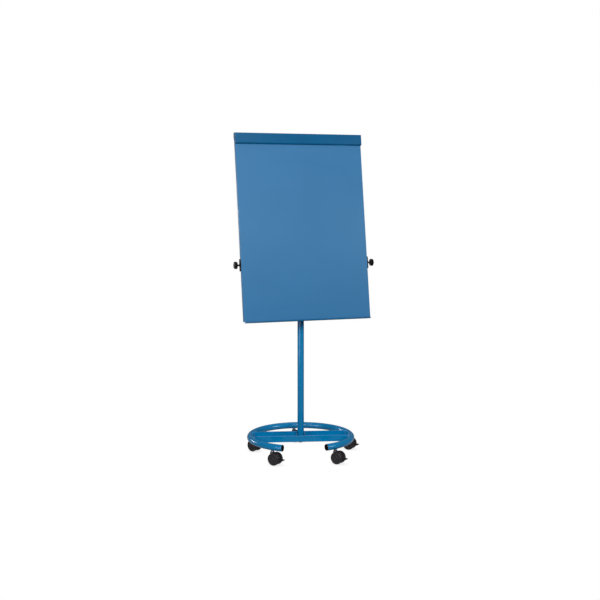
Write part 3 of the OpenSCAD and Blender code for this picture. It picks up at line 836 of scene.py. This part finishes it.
def area_light(name, place, aim, size, power, scattered=True, mirrored=True):
    """A rectangular light at a place, aimed at a point, that scattered or mirrored rays may not see."""
    data = bpy.data.lights.new(name, "AREA")
    data.shape = "RECTANGLE"
    data.size, data.size_y = size
    data.energy = power
    light = linked(name, data)
    light.location = place
    light.visible_camera = False
    light.visible_diffuse = scattered
    light.visible_glossy = mirrored
    light.rotation_euler = (Vector(aim) - Vector(place)).to_track_quat("-Z", "Y").to_euler()


def ray_strength(tree, seen, mirrored, scattered):
    """A value that depends on the ray: the camera's own, a mirrored one or a scattered one."""
    path = tree.nodes.new("ShaderNodeLightPath")
    value = scattered
    for flag, other in (("Is Glossy Ray", mirrored), ("Is Camera Ray", seen)):
        blend = tree.nodes.new("ShaderNodeMix")
        for key, source in (("Factor", path.outputs[flag]), ("A", value), ("B", other)):
            feed(tree, blend.inputs[key], source)
        value = blend.outputs["Result"]
    return value


def studio_floor():
    """A plain pale floor that is white to the eye, with a faint painted contact shadow where something stands on
    it.
    """
    mesh = bpy.data.meshes.new("floor")
    corners = [(x * FLOOR_HALF, y * FLOOR_HALF, 0) for x, y in ((-1, -1), (1, -1), (1, 1), (-1, 1))]
    mesh.from_pydata(corners, [], [(0, 1, 2, 3)])
    floor = linked("floor", mesh)
    shader = Shader("studio_floor")
    # Painted contact shadow: the floor's glow is dimmed where something stands close by
    openness = shader.node("ShaderNodeAmbientOcclusion", {"Distance": CONTACT_SHADE_REACH}, samples=8)
    painted_contact_shadow = shader.span(openness.outputs["AO"], 0.80, 1.0, 0.2, 0.85)
    glow = ray_strength(shader.tree, painted_contact_shadow, FLOOR_MIRRORED, 0.0)
    scattered = shader.node("ShaderNodeLightPath").outputs["Is Diffuse Ray"]
    bounce = shader.mix(scattered, (0, 0, 0, 1), (FLOOR_BOUNCE, FLOOR_BOUNCE, FLOOR_BOUNCE, 1))
    shader.set(Base_Color=bounce, Roughness=1.0, Specular_IOR_Level=0.0,
               Emission_Color=(1, 1, 1, 1), Emission_Strength=glow)
    mesh.materials.append(shader.material)


def studio_world():
    world = bpy.data.worlds.new("studio")
    world.use_nodes = True
    scene.world = world
    background = world.node_tree.nodes["Background"]
    background.inputs["Color"].default_value = (1, 1, 1, 1)
    strength = ray_strength(world.node_tree, 1.0, WORLD_MIRRORED, WORLD_SCATTERED)
    feed(world.node_tree, background.inputs["Strength"], strength)


def studio():
    """Floor, world and lights, each light with its place, aim, width and height in metres, and watts."""
    studio_floor()
    studio_world()
    middle = (0, 0, 0.9)
    area_light("key_left", (-5.6, -4.0, 2.9), middle, (2.8, 2.2), 190)
    area_light("front", (-2.2, -8.4, 4.4), middle, (4.5, 2.4), 420)
    area_light("fill_right", (4.8, -4.4, 2.6), (0.2, 0, 0.4), (2.2, 1.6), 130)
    area_light("glint_left", (-3.0, 3.4, 1.15), (-0.3, 0, 0.1), (1.6, 0.5), 60, scattered=False)
    area_light("sheen_front", (-2.75, -4.1, 2.2), (-0.1, -0.25, 0.1), (1.4, 2.2), 55, scattered=False)
    area_light("top", (0.6, 1.2, 4.4), (0, 0, 0), (1.5, 1.5), 15)
    area_light("fill_back", (1.6, 6.5, 2.4), middle, (4, 3), 170, mirrored=False)
    area_light("sheen_above", (0.0, -1.3, 4.2), (0.0, -1.3, 0), (3.4, 2.6), 40, scattered=False)
    area_light("sheen_left", (-3.4, -1.9, 0.55), (0, 0, 0.45), (1.6, 1.1), 30, scattered=False)


def photo_camera():
    """Eye height 1.39 m, 5.4 m away, looking slightly down and from the board's left."""
    down, turn = 5.44, 18.8
    data = bpy.data.cameras.new("camera")
    data.sensor_width = 36
    data.lens = 60.46
    data.shift_y = -0.0134
    camera = linked("camera", data)
    camera.location = (-1.7291, -5.0676, 1.3873)
    camera.rotation_euler = (math.radians(90 - down), 0, math.radians(-turn))
    scene.camera = camera


studio()
photo_camera()
scene.view_settings.view_transform = "Standard"
